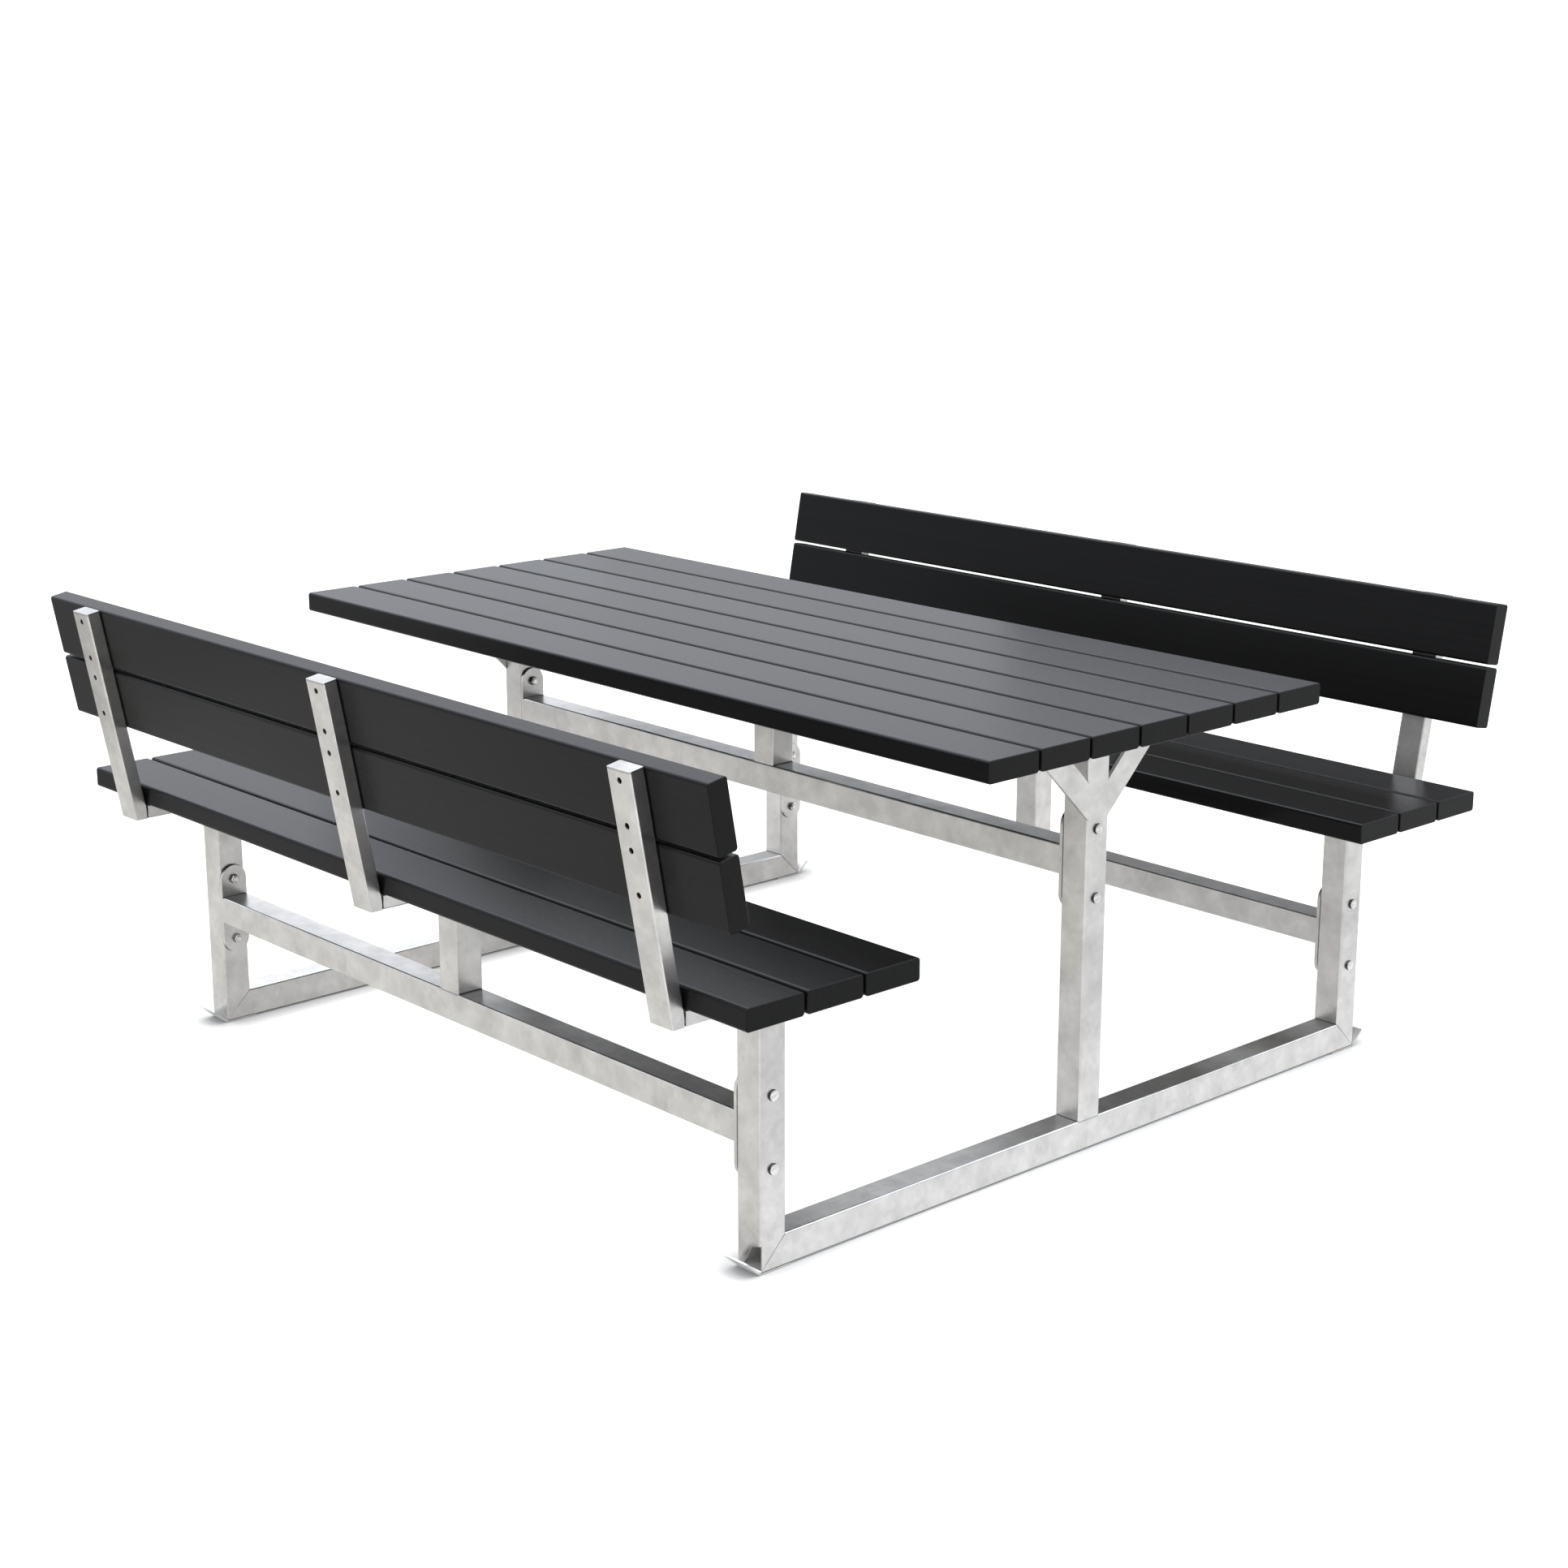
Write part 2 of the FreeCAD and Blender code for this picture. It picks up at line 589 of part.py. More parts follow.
end_plate = make_end_plate()
for name, (across, height, top) in BEAMS.items():
    make_beam(f"{name}_beam", place(y=across, z=height))
    post_foot = f"({height} + {HALF_TUBE})"
    make_middle_post(f"{name}_middle_post", place(y=across, z=post_foot), f"{top} - {post_foot}")
    copies(f"{name}_beam_end_plates", end_plate,
           [place(x=f"{sign} * ({PLATE_SEAT} - dims.end_plate_thickness)", y=across, z=height, turn=turn)
            for sign, turn in ENDS])

copies("frame_bolts", make_bolt(), at_bolts(END_FACE))
copies("frame_nuts", make_nut(), at_bolts(f"{PLATE_SEAT} - dims.end_plate_thickness - dims.nut_height"))

# Check every object, then write one file for each sub-part.
doc.recompute()
for item in doc.Objects:
    if "Invalid" in item.State or "Error" in item.State:
        raise RuntimeError(f"{item.Label} failed: {item.State}")
for piece in pieces:
    if piece.Shape.isNull() or not piece.Shape.isValid() or not piece.Shape.Solids:
        raise RuntimeError(f"{piece.Label} has no valid solid")
os.makedirs("parts", exist_ok=True)
for piece in pieces:
    piece.Shape.exportStep(f"parts/{piece.Label}.step")
print(len(pieces), "sub-parts written")
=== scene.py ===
import math

import bmesh
import bpy
from mathutils import Matrix, Vector


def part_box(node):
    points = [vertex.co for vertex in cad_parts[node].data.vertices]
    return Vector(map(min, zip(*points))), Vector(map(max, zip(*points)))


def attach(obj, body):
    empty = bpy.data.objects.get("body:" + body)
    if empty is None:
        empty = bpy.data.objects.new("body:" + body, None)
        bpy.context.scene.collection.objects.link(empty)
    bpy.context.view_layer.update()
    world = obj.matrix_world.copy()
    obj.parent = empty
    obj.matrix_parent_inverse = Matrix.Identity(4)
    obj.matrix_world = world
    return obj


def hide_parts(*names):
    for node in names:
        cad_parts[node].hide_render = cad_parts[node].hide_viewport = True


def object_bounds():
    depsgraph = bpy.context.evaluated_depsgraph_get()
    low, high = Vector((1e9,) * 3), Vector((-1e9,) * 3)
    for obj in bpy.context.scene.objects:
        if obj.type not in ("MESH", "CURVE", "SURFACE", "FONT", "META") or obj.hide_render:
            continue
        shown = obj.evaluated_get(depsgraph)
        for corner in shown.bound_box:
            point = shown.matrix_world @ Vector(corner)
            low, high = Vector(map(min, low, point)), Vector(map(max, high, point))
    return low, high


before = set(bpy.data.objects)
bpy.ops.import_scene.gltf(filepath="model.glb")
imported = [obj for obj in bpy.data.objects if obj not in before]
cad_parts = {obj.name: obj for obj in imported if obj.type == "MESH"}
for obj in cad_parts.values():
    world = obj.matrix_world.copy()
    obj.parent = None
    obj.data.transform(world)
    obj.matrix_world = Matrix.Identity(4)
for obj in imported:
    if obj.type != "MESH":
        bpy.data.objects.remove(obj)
cad_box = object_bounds()

# End frames
# Each end of the set stands on a frame of 50 mm square steel tube: a floor rail mitred into two seat legs,
# with the table leg on its middle and two flat-bar struts below the table. The frame is welded, ground
# flush and hot-dip galvanised, so its zinc skin has cloudy patches, faint crystals and a soft mirror gloss.
ENDS = ("near", "far")
SIDES = ("left", "right")
ZINC_INPUTS = {
    "Tone": 0.535,
    "Tone Spread": 0.2,
    "Gloss": 0.295,
    "Gloss Spread": 0.03,
    "Crystal Size": 0.012,
    "Cloud Size": 0.045,
    # The next three set the painted shade in seams and corners, and the painted tone inside tubes.
    "Seam Shade Reach": 0.0035,
    "Seam Shade Limit": 0.6,
    "Inside Shading Tone": 0.5,
}
CRYSTAL_WEIGHT = 0.25
CRYSTAL_HEIGHT = 0.05
CLOUD_WEIGHT = 1.6
CLOUD_DETAIL = 5.0
# Painted shade in seams and corners: its darkest tone, and the openness at which it stops.
SEAM_SHADE_TONE = 0.12
UNSHADED_LIMIT = 0.95
# Within this reach and these openness limits, the insides of tubes and tight corners take a painted tone of
# their own.
INSIDE_REACH = 0.1
INSIDE_LIMITS = (0.3, 0.5)
BARE_METAL = 0.98
ZINC_RED = 1.022
ZINC_BLUE = 0.968
RELIEF_DEPTH = 0.0004


def feed(tree, socket, value):
    """Set a node's input to a plain value, or link another node's output to it."""
    if isinstance(value, bpy.types.NodeSocket):
        tree.links.new(value, socket)
    else:
        socket.default_value = value


def math_node(tree, operation, *values):
    node = tree.nodes.new("ShaderNodeMath")
    node.operation = operation
    for socket, value in zip(node.inputs, values):
        feed(tree, socket, value)
    return node.outputs[0]


def ramp(tree, value, source, target):
    """A value taken from one range to another and held at its ends."""
    node = tree.nodes.new("ShaderNodeMapRange")
    names = ("Value", "From Min", "From Max", "To Min", "To Max")
    for name, entry in zip(names, (value, *source, *target)):
        feed(tree, node.inputs[name], entry)
    return node.outputs["Result"]


def blend(tree, kind, factor, first, second):
    node = tree.nodes.new("ShaderNodeMix")
    node.data_type = kind
    for name, value in (("Factor", factor), ("A", first), ("B", second)):
        feed(tree, node.inputs[name], value)
    return node.outputs["Result"]


def openness(tree, reach):
    """How open a surface is within a reach: 1 on a free face, about 0.5 in a corner, near 0 in a tube."""
    node = tree.nodes.new("ShaderNodeAmbientOcclusion")
    feed(tree, node.inputs["Distance"], reach)
    return node.outputs["AO"]


def effect_group(name, inputs, outputs):
    """A node group's tree, with the sockets that it reads and the sockets that it fills."""
    tree = bpy.data.node_groups.new(name, "ShaderNodeTree")
    for label, value in inputs.items():
        socket = tree.interface.new_socket(label, in_out="INPUT", socket_type="NodeSocketFloat")
        socket.default_value = value
    for label, kind in outputs.items():
        tree.interface.new_socket(label, in_out="OUTPUT", socket_type=kind)
    given = tree.nodes.new("NodeGroupInput").outputs
    made = tree.nodes.new("NodeGroupOutput").inputs
    return tree, given, made


def zinc_skin_group():
    """A galvanised skin with crystals, clouds, painted shade in seams and a duller painted tone inside
    tubes.
    """
    outputs = {"Color": "NodeSocketColor", "Roughness": "NodeSocketFloat",
               "Metallic": "NodeSocketFloat", "Height": "NodeSocketFloat"}
    tree, given, made = effect_group("zinc_skin", ZINC_INPUTS, outputs)
    place = tree.nodes.new("ShaderNodeTexCoord").outputs["Object"]
    crystals = tree.nodes.new("ShaderNodeTexVoronoi")
    feed(tree, crystals.inputs["Vector"], place)
    feed(tree, crystals.inputs["Scale"], math_node(tree, "DIVIDE", 1.0, given["Crystal Size"]))
    crystal = tree.nodes.new("ShaderNodeSeparateColor")
    feed(tree, crystal.inputs["Color"], crystals.outputs["Color"])
    clouds = tree.nodes.new("ShaderNodeTexNoise")
    feed(tree, clouds.inputs["Vector"], place)
    feed(tree, clouds.inputs["Scale"], math_node(tree, "DIVIDE", 1.0, given["Cloud Size"]))
    feed(tree, clouds.inputs["Detail"], CLOUD_DETAIL)
    cloud = clouds.outputs["Fac"]

    crystal_part = math_node(tree, "SUBTRACT", crystal.outputs["Red"], 0.5)
    cloud_part = math_node(tree, "SUBTRACT", cloud, 0.5)
    mottle = math_node(tree, "ADD", math_node(tree, "MULTIPLY", crystal_part, CRYSTAL_WEIGHT),
                       math_node(tree, "MULTIPLY", cloud_part, CLOUD_WEIGHT))
    fresh = math_node(tree, "MULTIPLY_ADD", mottle, given["Tone Spread"], given["Tone"])
    # Painted shade: the tone darkens where a seam, a corner or the rim of a bolt's head closes in round it.
    seam = openness(tree, given["Seam Shade Reach"])
    seam_shading = ramp(tree, seam, (given["Seam Shade Limit"], UNSHADED_LIMIT), (SEAM_SHADE_TONE, 1.0))
    # Inside tubes and in tight corners the zinc turns to a non-metal with a painted tone of its own, which
    # stands in for the light and shade there.
    outside = ramp(tree, openness(tree, INSIDE_REACH), INSIDE_LIMITS, (0.0, 1.0))
    seam_shaded = math_node(tree, "MULTIPLY", fresh, seam_shading)
    tone = blend(tree, "FLOAT", outside, given["Inside Shading Tone"], seam_shaded)
    grey = tree.nodes.new("ShaderNodeCombineColor")
    feed(tree, grey.inputs["Red"], math_node(tree, "MULTIPLY", tone, ZINC_RED))
    feed(tree, grey.inputs["Green"], tone)
    feed(tree, grey.inputs["Blue"], math_node(tree, "MULTIPLY", tone, ZINC_BLUE))

    gloss_shift = math_node(tree, "MULTIPLY", mottle, given["Gloss Spread"])
    height = math_node(tree, "MULTIPLY_ADD", crystal.outputs["Green"], CRYSTAL_HEIGHT, cloud)
    feed(tree, made["Color"], grey.outputs["Color"])
    feed(tree, made["Roughness"], math_node(tree, "SUBTRACT", given["Gloss"], gloss_shift))
    feed(tree, made["Metallic"], math_node(tree, "MULTIPLY", outside, BARE_METAL))
    feed(tree, made["Height"], height)
    return tree


zinc_skin = zinc_skin_group()


def add_relief(tree, shader, height, strength):
    """Give a shader's surface a fine relief."""
    relief = tree.nodes.new("ShaderNodeBump")
    feed(tree, relief.inputs["Strength"], strength)
    feed(tree, relief.inputs["Distance"], RELIEF_DEPTH)
    feed(tree, relief.inputs["Height"], height)
    feed(tree, shader.inputs["Normal"], relief.outputs["Normal"])


def galvanised(name, bump, finish):
    """A zinc finish; an input that isn't given keeps the zinc skin's own value."""
    material = bpy.data.materials.new(name)
    material.use_nodes = True
    tree = material.node_tree
    shader = tree.nodes["Principled BSDF"]
    skin = tree.nodes.new("ShaderNodeGroup")
    skin.node_tree = zinc_skin
    for label, value in finish.items():
        feed(tree, skin.inputs[label], value)
    feed(tree, shader.inputs["Base Color"], skin.outputs["Color"])
    feed(tree, shader.inputs["Roughness"], skin.outputs["Roughness"])
    feed(tree, shader.inputs["Metallic"], skin.outputs["Metallic"])
    add_relief(tree, shader, skin.outputs["Height"], bump)
    return material


def clothe(names, material):
    """Give CAD nodes their finish."""
    for name in names:
        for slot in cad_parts[name].material_slots:
            slot.material = material


# On the frame the painted shade keeps to the mitre seams, and the insides of the tubes and tight corners
# are painted pale, a painted light where they show through openings.
frame_zinc = galvanised("frame_zinc", 0.06, {"Seam Shade Reach": 0.0015, "Seam Shade Limit": 0.8, "Inside Shading Tone": 0.9})
clothe([f"{end}_floor_rail" for end in ENDS], frame_zinc)
clothe([f"{end}_{side}_seat_leg" for end in ENDS for side in SIDES], frame_zinc)
clothe([f"{end}_table_leg" for end in ENDS], frame_zinc)
clothe([f"{end}_table_struts" for end in ENDS], frame_zinc)

# Foot plates
# A 3 mm strip of galvanised plate under each corner of the rails, with its outer end bent up. It keeps the
# tube clear of wet ground; its zinc is a little duller and rougher than the tube's.
# The plates' painted shade in seams reaches only 1 mm.
plate_zinc = galvanised("plate_zinc", 0.12,
                        {"Tone": 0.53, "Gloss": 0.3, "Crystal Size": 0.009, "Seam Shade Reach": 0.001})
clothe([f"{end}_foot_plates" for end in ENDS], plate_zinc)

# Beams
# Three long square tubes tie the end frames together. Each has an obround plate welded to both ends, which
# bolts against the legs, and a post on its middle under the planks.
BEAMS = ("left", "table", "right")
beam_zinc = galvanised("beam_zinc", 0.025, {"Crystal Size": 0.014})
clothe([f"{name}_beam" for name in BEAMS], beam_zinc)
clothe([f"{name}_middle_post" for name in BEAMS], beam_zinc)
clothe([f"{name}_beam_end_plates" for name in BEAMS], plate_zinc)

# Bearers and back uprights
# Flat tubes of 50 by 25 mm carry the planks: level ones below the table and seats, leaning ones behind the
# backs. They are galvanised like the frame, and a duller welded cap closes the top of each upright.
STATIONS = ("near", "middle", "far")
# Inside the bearers' tubes the zinc is painted dark, a painted shade that shows through the screw holes.
bearer_zinc = galvanised("bearer_zinc", 0.06, {"Crystal Size": 0.01, "Inside Shading Tone": 0.15})
clothe([f"{station}_table_bearer" for station in STATIONS], bearer_zinc)
for side in SIDES:
    clothe([f"{side}_{station}_seat_bearer" for station in STATIONS], bearer_zinc)
    clothe([f"{side}_{station}_back_upright" for station in STATIONS], bearer_zinc)
cap_zinc = galvanised("cap_zinc", 0.06, {"Tone": 0.38, "Crystal Size": 0.01})
clothe(["back_upright_caps"], cap_zinc)

# Bolts and nuts
# Bolts with low domed heads hold the beams' end plates to the legs, heads outside and hexagon nuts inside.
# They are zinc plated, brighter and smoother than the galvanised tube, and end just beyond their nuts.
# In an outline, a point is the distance out from the leg's outer face, then the radius.
BOLT_SPREAD = 0.113
BOLT_STEPS = 28
HEAD_RADIUS = 0.008
HEAD_RIM = 0.0037
HEAD_HEIGHT = 0.005
DOME_STEPS = 5
SHANK_RADIUS = 0.005
SHANK_LENGTH = 0.0645
THREAD_LENGTH = 0.015
THREAD_PITCH = 0.0015
THREAD_DEPTH = 0.0006
NUT_SIDES = 6
NUT_OUTLINE = ((-0.056, 0.0), (-0.056, 0.0084), (-0.062, 0.0084), (-0.063, 0.0073), (-0.063, 0.0))
CREASE = math.radians(40)


def turn_about_x(mesh, outline, steps, placement):
    """Add a turned solid to a bmesh; a radius of 0 closes its end."""
    rings = []
    for along, radius in outline:
        count = steps if radius > 0 else 1
        ring = []
        for step in range(count):
            turn = 2 * math.pi * step / count
            point = Vector((along, radius * math.cos(turn), radius * math.sin(turn)))
            ring.append(mesh.verts.new(placement @ point))
        rings.append(ring)
    for first, second in zip(rings, rings[1:]):
        for step in range(steps):
            ahead = (step + 1) % steps
            corners = (first[step % len(first)], first[ahead % len(first)],
                       second[ahead % len(second)], second[step % len(second)])
            mesh.faces.new(dict.fromkeys(corners))


def finish_piece(name, mesh, material):
    """Turn a bmesh into a piece of the set with smooth faces and crisp edges."""
    bmesh.ops.recalc_face_normals(mesh, faces=mesh.faces)
    for face in mesh.faces:
        face.smooth = True
    data = bpy.data.meshes.new(name)
    mesh.to_mesh(data)
    mesh.free()
    data.set_sharp_from_angle(angle=CREASE)
    data.materials.append(material)
    piece = bpy.data.objects.new(name, data)
    bpy.context.collection.objects.link(piece)
    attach(piece, "root")
    return piece


def bolt_outline():
    """Half outline of a bolt, from its threaded tip to the top of its dome."""
    root_radius = SHANK_RADIUS - THREAD_DEPTH
    outline = [(-SHANK_LENGTH, 0.0), (-SHANK_LENGTH, root_radius)]
    for turn in range(round(THREAD_LENGTH / THREAD_PITCH)):
        crest = -SHANK_LENGTH + (turn + 0.5) * THREAD_PITCH
        outline += [(crest, SHANK_RADIUS), (crest + THREAD_PITCH / 2, root_radius)]
    outline += [(0.0, root_radius), (0.0, HEAD_RADIUS), (HEAD_RIM, HEAD_RADIUS)]
    rise = HEAD_HEIGHT - HEAD_RIM
    dome = (HEAD_RADIUS ** 2 + rise ** 2) / (2 * rise)
    sweep = math.asin(HEAD_RADIUS / dome)
    for step in range(DOME_STEPS - 1, 0, -1):
        turn = sweep * step / DOME_STEPS
        outline.append((HEAD_HEIGHT - dome + dome * math.cos(turn), dome * math.sin(turn)))
    return outline + [(HEAD_HEIGHT, 0.0)]


def turned_at_bolts(outline, steps):
    """The same turned piece at each of the bolts' places."""
    mesh = bmesh.new()
    for end, facing in zip(ENDS, (0.0, math.pi)):
        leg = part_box(f"{end}_table_leg")
        outer = max(leg[0][0], leg[1][0], key=abs)
        for name in BEAMS:
            low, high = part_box(f"{name}_beam_end_plates")
            across = (low[1] + high[1]) / 2
            level = (low[2] + high[2]) / 2
            for side in (-0.5, 0.5):
                middle = Vector((outer, across, level + side * BOLT_SPREAD))
                placement = Matrix.Translation(middle) @ Matrix.Rotation(facing, 4, "Z")
                turn_about_x(mesh, outline, steps, placement)
    return mesh


# The bolts' painted shade reaches 11 mm, so it darkens the rims of their heads like a shadow.
bolt_zinc = galvanised("bolt_zinc", 0.06,
                       {"Tone": 0.62, "Gloss": 0.18, "Crystal Size": 0.004, "Seam Shade Reach": 0.011})
bolts = finish_piece("domed_bolts", turned_at_bolts(bolt_outline(), BOLT_STEPS), bolt_zinc)
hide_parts("frame_bolts")
nuts = finish_piece("hexagon_nuts", turned_at_bolts(NUT_OUTLINE, NUT_SIDES), bolt_zinc)
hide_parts("frame_nuts")

# Plank screws
# Pan-head screws hold each plank from behind. Their heads sit inside the flat tubes, against the wall next
# to the plank, and are reached through the holes in the outer wall. They are zinc plated like the bolts.
# Lengths along a leaning upright start at its foot, whose place is given across and up.
TABLE_PLANKS = [f"table_plank_{number}" for number in range(1, 8)]
SEAT_PLANKS = [f"{side}_seat_plank_{number}" for side in SIDES for number in range(1, 4)]
TILT = math.radians(10.4)
UPRIGHT_FOOT = (0.848, 0.438)
BACK_SCREWS = (0.178, 0.244, 0.28, 0.346)
TUBE_WALL = 0.0025
SCREW_STEPS = 12
SCREW_OUTLINE = ((-0.0275, 0.0), (-0.023, 0.0021), (0.0, 0.0023), (0.0, 0.0042), (0.0008, 0.0042),
                 (0.0021, 0.0034), (0.0028, 0.0021), (0.0015, 0.0017), (0.0015, 0.0))


def make_screws():
    mesh = bmesh.new()
    downwards = Matrix.Rotation(math.pi / 2, 4, "Y")

    def drive(place, turn):
        turn_about_x(mesh, SCREW_OUTLINE, SCREW_STEPS, Matrix.Translation(place) @ turn)

    for station in STATIONS:
        low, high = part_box(f"{station}_table_bearer")
        along = (low[0] + high[0]) / 2
        for plank in TABLE_PLANKS + SEAT_PLANKS:
            low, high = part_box(plank)
            drive(Vector((along, (low[1] + high[1]) / 2, low[2] - TUBE_WALL)), downwards)
        for sign in (-1, 1):
            rearwards = Vector((0.0, sign * math.cos(TILT), -math.sin(TILT)))
            turn = rearwards.to_track_quat("X", "Z").to_matrix().to_4x4()
            for reach in BACK_SCREWS:
                across = sign * (UPRIGHT_FOOT[0] + reach * math.sin(TILT))
                level = UPRIGHT_FOOT[1] + reach * math.cos(TILT)
                drive(Vector((along, across, level)) + TUBE_WALL * rearwards, turn)
    return mesh


finish_piece("plank_screws", make_screws(), bolt_zinc)

# Planks
# Solid planks of dark moulded composite, 106 by 35 mm, with rounded long edges. The moulding leaves a satin
# skin with faint streaks along the plank, and no two neighbours are quite the same shade.
BACK_PLANKS = [f"{side}_back_plank_{number}" for side in SIDES for number in range(1, 3)]
PLANK_INPUTS = {"Streak Width": 0.009, "Grain Size": 0.003}
STREAK_DRAW = 50.0
STREAK_DETAIL = 3.0
GRAIN_DRAW = 4.0
GRAIN_DETAIL = 2.0
GRAIN_HEIGHT = 0.3
GRAIN_DULLING = 0.05
PLANK_IOR = 1.21
PLANK_BUMP = 0.5


def plank_streaks_group():
    """Streaks along the plank and a fine grain: a tone from 0 to 1, a gloss shift and a height."""
    outputs = dict.fromkeys(("Tone", "Gloss Shift", "Height"), "NodeSocketFloat")
    tree, given, made = effect_group("plank_streaks", PLANK_INPUTS, outputs)
    place = tree.nodes.new("ShaderNodeTexCoord").outputs["Object"]

    def drawn_noise(draw, size, detail):
        """Noise that is drawn out along the plank."""
        drawn_out = tree.nodes.new("ShaderNodeMapping")
        feed(tree, drawn_out.inputs["Vector"], place)
        feed(tree, drawn_out.inputs["Scale"], (1.0 / draw, 1.0, 1.0))
        noise = tree.nodes.new("ShaderNodeTexNoise")
        feed(tree, noise.inputs["Vector"], drawn_out.outputs["Vector"])
        feed(tree, noise.inputs["Scale"], math_node(tree, "DIVIDE", 1.0, size))
        feed(tree, noise.inputs["Detail"], detail)
        return noise.outputs["Fac"]

    streaks = drawn_noise(STREAK_DRAW, given["Streak Width"], STREAK_DETAIL)
    grain = drawn_noise(GRAIN_DRAW, given["Grain Size"], GRAIN_DETAIL)
    feed(tree, made["Tone"], streaks)
    feed(tree, made["Gloss Shift"], grain)
    feed(tree, made["Height"], math_node(tree, "MULTIPLY_ADD", grain, GRAIN_HEIGHT, streaks))
    return tree


plank_streaks = plank_streaks_group()


def plank_finish(name, dark, light, roughness):
    material = bpy.data.materials.new(name)
    material.use_nodes = True
    tree = material.node_tree
    shader = tree.nodes["Principled BSDF"]
    feed(tree, shader.inputs["IOR"], PLANK_IOR)
    skin = tree.nodes.new("ShaderNodeGroup")
    skin.node_tree = plank_streaks
    shade = blend(tree, "RGBA", skin.outputs["Tone"], (*dark, 1.0), (*light, 1.0))
    dull = math_node(tree, "MULTIPLY_ADD", skin.outputs["Gloss Shift"], GRAIN_DULLING, roughness)
    feed(tree, shader.inputs["Base Color"], shade)
    feed(tree, shader.inputs["Roughness"], dull)
    add_relief(tree, shader, skin.outputs["Height"], PLANK_BUMP)
    return material


MIXES = (
    plank_finish("plank_dark", (0.0023, 0.0023, 0.0023), (0.006, 0.006, 0.0061), roughness=0.265),
    plank_finish("plank_mid", (0.0027, 0.0026, 0.0026), (0.007, 0.0069, 0.0069), roughness=0.275),
    plank_finish("plank_pale", (0.0031, 0.003, 0.0031), (0.0076, 0.0075, 0.0076), roughness=0.26),
)
for number, plank in enumerate(TABLE_PLANKS + SEAT_PLANKS + BACK_PLANKS):
    clothe([plank], MIXES[number * 2 % len(MIXES)])

# Floor
# A white studio floor. To the eye and in reflections it is lifted to white; to the eye the lift fades close
# to where the object stands, which paints a contact shadow round the feet and rails over their real
# shadows.
FLOOR_SIDE = 60.0
FLOOR_PAINT = (0.8, 0.8, 0.8, 1.0)
LIFT_TINT = (1.0, 0.995, 0.98, 1.0)
CAMERA_LIFT = 0.78
GLOSSY_LIFT = 0.48
CONTACT_SHADOW_REACH = 0.055
CONTACT_SHADOW_DEPTH = 2.0


def background_rays(tree):
    """Rays to the eye, and rays that see the background in metal or glass."""
    rays = tree.nodes.new("ShaderNodeLightPath").outputs
    mirrored = math_node(tree, "MAXIMUM", rays["Is Glossy Ray"], rays["Is Transmission Ray"])
    return rays["Is Camera Ray"], mirrored


def floor_paint():
    material = bpy.data.materials.new("floor_paint")
    material.use_nodes = True
    tree = material.node_tree
    tree.nodes.clear()
    paint = tree.nodes.new("ShaderNodeBsdfDiffuse")
    feed(tree, paint.inputs["Color"], FLOOR_PAINT)
    to_eye, mirrored = background_rays(tree)
    # Painted contact shadow: the lift that the eye sees falls off where the object closes the floor in.
    open_floor = math_node(tree, "POWER", openness(tree, CONTACT_SHADOW_REACH), CONTACT_SHADOW_DEPTH)
    seen = math_node(tree, "MULTIPLY", to_eye, math_node(tree, "MULTIPLY", open_floor, CAMERA_LIFT))
    lift = tree.nodes.new("ShaderNodeEmission")
    feed(tree, lift.inputs["Color"], LIFT_TINT)
    feed(tree, lift.inputs["Strength"], math_node(tree, "MULTIPLY_ADD", mirrored, GLOSSY_LIFT, seen))
    both = tree.nodes.new("ShaderNodeAddShader")
    feed(tree, both.inputs[0], paint.outputs["BSDF"])
    feed(tree, both.inputs[1], lift.outputs["Emission"])
    surface = tree.nodes.new("ShaderNodeOutputMaterial").inputs["Surface"]
    feed(tree, surface, both.outputs["Shader"])
    return material


bpy.ops.mesh.primitive_plane_add(size=FLOOR_SIDE, location=(0.0, 0.0, cad_box[0][2]))
floor = bpy.context.object
floor.name = "studio_floor"
floor.data.materials.append(floor_paint())

# Cards
# Flat cards that show only in reflections give the steel its light and dark faces: dark flags stand beyond
# the right bench, a small one hangs in the gap between that bench and the table, and pale cards lie on the
# floor at the near end and along the left side.
CARD_PAINT = (0.01, 0.01, 0.01, 1.0)
CARD_LEVEL = 0.003
FLAG_DISTANCE = 2.0
LYING = (0.0, 0.0, 0.0)
STANDING = (math.pi / 2, 0.0, 0.0)
WHITE = (1.0, 1.0, 1.0)
COOL_WHITE = (0.95, 0.98, 1.0)
WARM_WHITE = (1.0, 1.0, 0.98)


def reflected_card(name, place, turn, size, colour, glow):
    """A card that throws no shadow and no light, and that the eye doesn't see."""
    bpy.ops.mesh.primitive_plane_add(size=1.0, location=place, rotation=turn)
    card = bpy.context.object
    card.name = name
    card.scale = (*size, 1.0)
    card.visible_camera = False
    card.visible_diffuse = False
    card.visible_shadow = False
    material = bpy.data.materials.new(name)
    material.use_nodes = True
    shader = material.node_tree.nodes["Principled BSDF"]
    shader.inputs["Base Color"].default_value = CARD_PAINT
    shader.inputs["Roughness"].default_value = 1.0
    shader.inputs["Emission Color"].default_value = (*colour, 1.0)
    shader.inputs["Emission Strength"].default_value = glow
    card.data.materials.append(material)


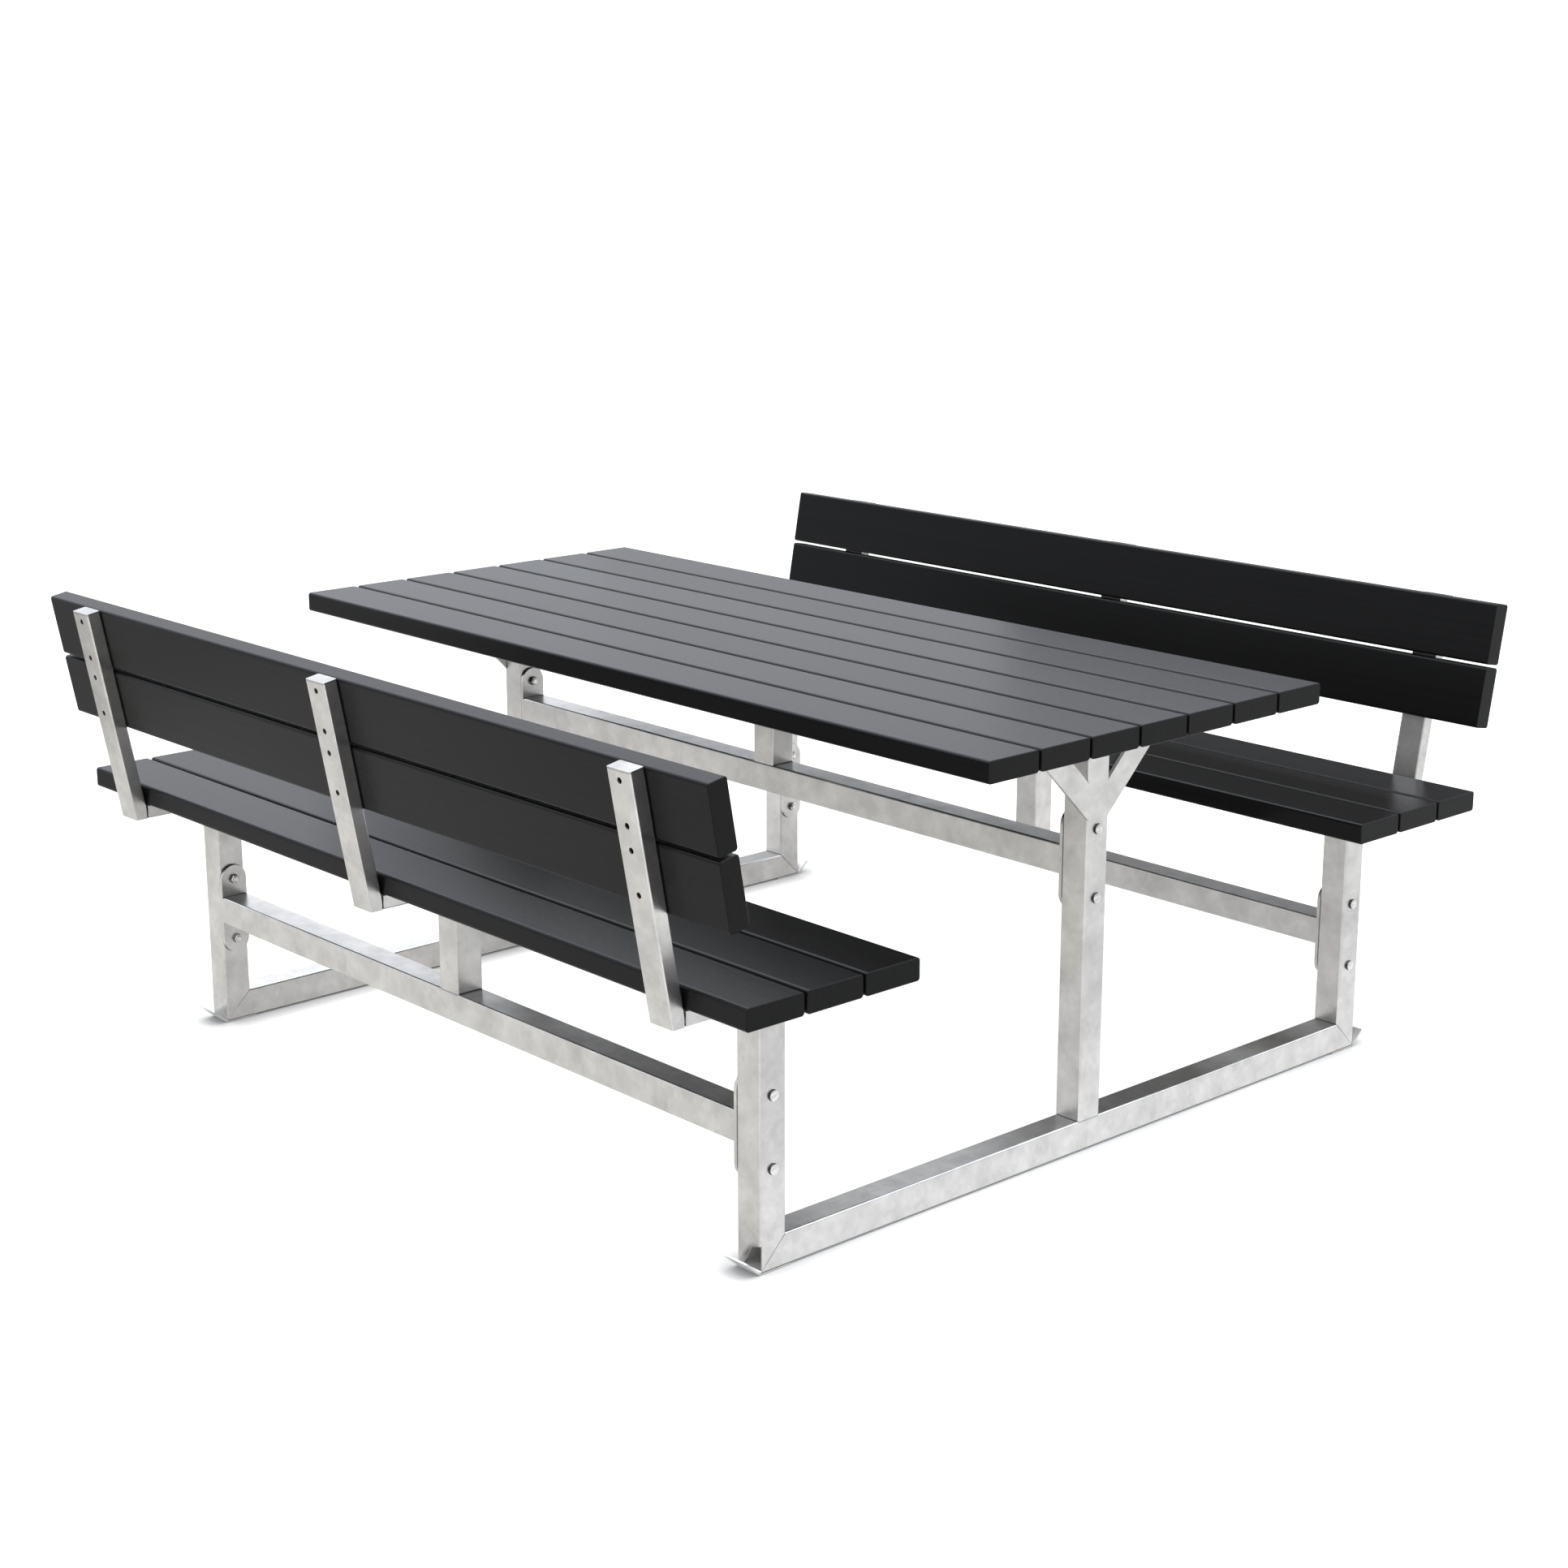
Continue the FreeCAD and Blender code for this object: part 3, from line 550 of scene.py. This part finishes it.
reflected_card("dark_flag", (-0.35, FLAG_DISTANCE, 0.72), STANDING, (1.9, 1.06), WHITE, glow=0.1)
reflected_card("low_flag", (-2.15, FLAG_DISTANCE, 0.57), STANDING, (1.7, 0.76), WHITE, glow=0.1)
reflected_card("gap_flag", (0.475, 0.366, 0.43), LYING, (0.35, 0.292), WHITE, glow=0.3)
reflected_card("rail_card", (0.92, 0.0, CARD_LEVEL), LYING, (0.32, 2.4), COOL_WHITE, glow=1.35)
reflected_card("near_card", (1.5, 0.25, CARD_LEVEL), LYING, (0.84, 2.5), COOL_WHITE, glow=1.02)
reflected_card("left_card", (-0.55, -2.05, CARD_LEVEL), LYING, (2.9, 2.5), WARM_WHITE, glow=1.02)
reflected_card("far_card", (-3.0, -2.05, CARD_LEVEL), LYING, (2.0, 2.5), WARM_WHITE, glow=0.6)

# Light
# Soft light from all round, with a large soft lamp above. The sky is white to the eye. In reflections it is
# brighter beyond the far end of the table than behind the eye, brightest high up, and a little cool.
FAR_SKY = (-0.74, 0.67, 0.0)
FAR_SKY_LEVEL = 1.4
NEAR_SKY_LEVEL = 0.6
HIGH_SKY_START = 0.33
HIGH_SKY_END = 0.75
HIGH_SKY_LEVEL = 2.5
SKY_FILL = 0.7
SKY_TINT = (0.95, 0.985, 1.05, 1.0)
SEEN_SKY_TINT = (1.0, 1.0, 1.0, 1.0)
LAMP_PLACE = Vector((0.9, -0.4, 4.5))
LAMP_AIM = Vector((0.0, 0.0, 0.4))
LAMP_SIZE = 4.0
LAMP_POWER = 150.0


def light_the_sky(tree):
    sky = tree.nodes["Background"]
    direction = tree.nodes.new("ShaderNodeTexCoord").outputs["Generated"]
    towards_far = tree.nodes.new("ShaderNodeVectorMath")
    towards_far.operation = "DOT_PRODUCT"
    feed(tree, towards_far.inputs[0], direction)
    feed(tree, towards_far.inputs[1], FAR_SKY)
    fade = ramp(tree, towards_far.outputs["Value"], (-1.0, 1.0), (NEAR_SKY_LEVEL, FAR_SKY_LEVEL))
    upwards = tree.nodes.new("ShaderNodeSeparateXYZ")
    feed(tree, upwards.inputs["Vector"], direction)
    high = ramp(tree, upwards.outputs["Z"], (HIGH_SKY_START, HIGH_SKY_END), (0.0, HIGH_SKY_LEVEL))
    to_eye, mirrored = background_rays(tree)
    lit = blend(tree, "FLOAT", mirrored, SKY_FILL, math_node(tree, "ADD", fade, high))
    feed(tree, sky.inputs["Strength"], blend(tree, "FLOAT", to_eye, lit, 1.0))
    feed(tree, sky.inputs["Color"], blend(tree, "RGBA", to_eye, SKY_TINT, SEEN_SKY_TINT))


world = bpy.data.worlds.new("studio")
bpy.context.scene.world = world
world.use_nodes = True
light_the_sky(world.node_tree)
softbox = bpy.data.lights.new("overhead_softbox", "AREA")
softbox.shape = "DISK"
softbox.size = LAMP_SIZE
softbox.energy = LAMP_POWER
lamp = bpy.data.objects.new("overhead_softbox", softbox)
bpy.context.collection.objects.link(lamp)
lamp.location = LAMP_PLACE
lamp.rotation_euler = (LAMP_AIM - LAMP_PLACE).to_track_quat("-Z", "Y").to_euler()

# Camera
# It stands where the photograph was taken from, about 4.9 m off at head height, with the same focal length.
# Pixel values are in the photograph's own square frame.
IMAGE_SIDE = 1932
FOCAL_PIXELS = 3309.7
AXIS_PIXEL = (968.9, 969.5)
EYE = Vector((3.4252, -3.0884, 1.6659))
SIGHT = Vector((-0.71526, 0.65137, -0.25324))
lens = bpy.data.cameras.new("photo_camera")
lens.sensor_width = 36.0
lens.lens = FOCAL_PIXELS / IMAGE_SIDE * lens.sensor_width
lens.shift_x = (IMAGE_SIDE / 2 - AXIS_PIXEL[0]) / IMAGE_SIDE
lens.shift_y = (AXIS_PIXEL[1] - IMAGE_SIDE / 2) / IMAGE_SIDE
camera = bpy.data.objects.new("photo_camera", lens)
bpy.context.collection.objects.link(camera)
camera.location = EYE
camera.rotation_euler = SIGHT.to_track_quat("-Z", "Y").to_euler()
bpy.context.scene.camera = camera
bpy.context.scene.view_settings.view_transform = "Standard"
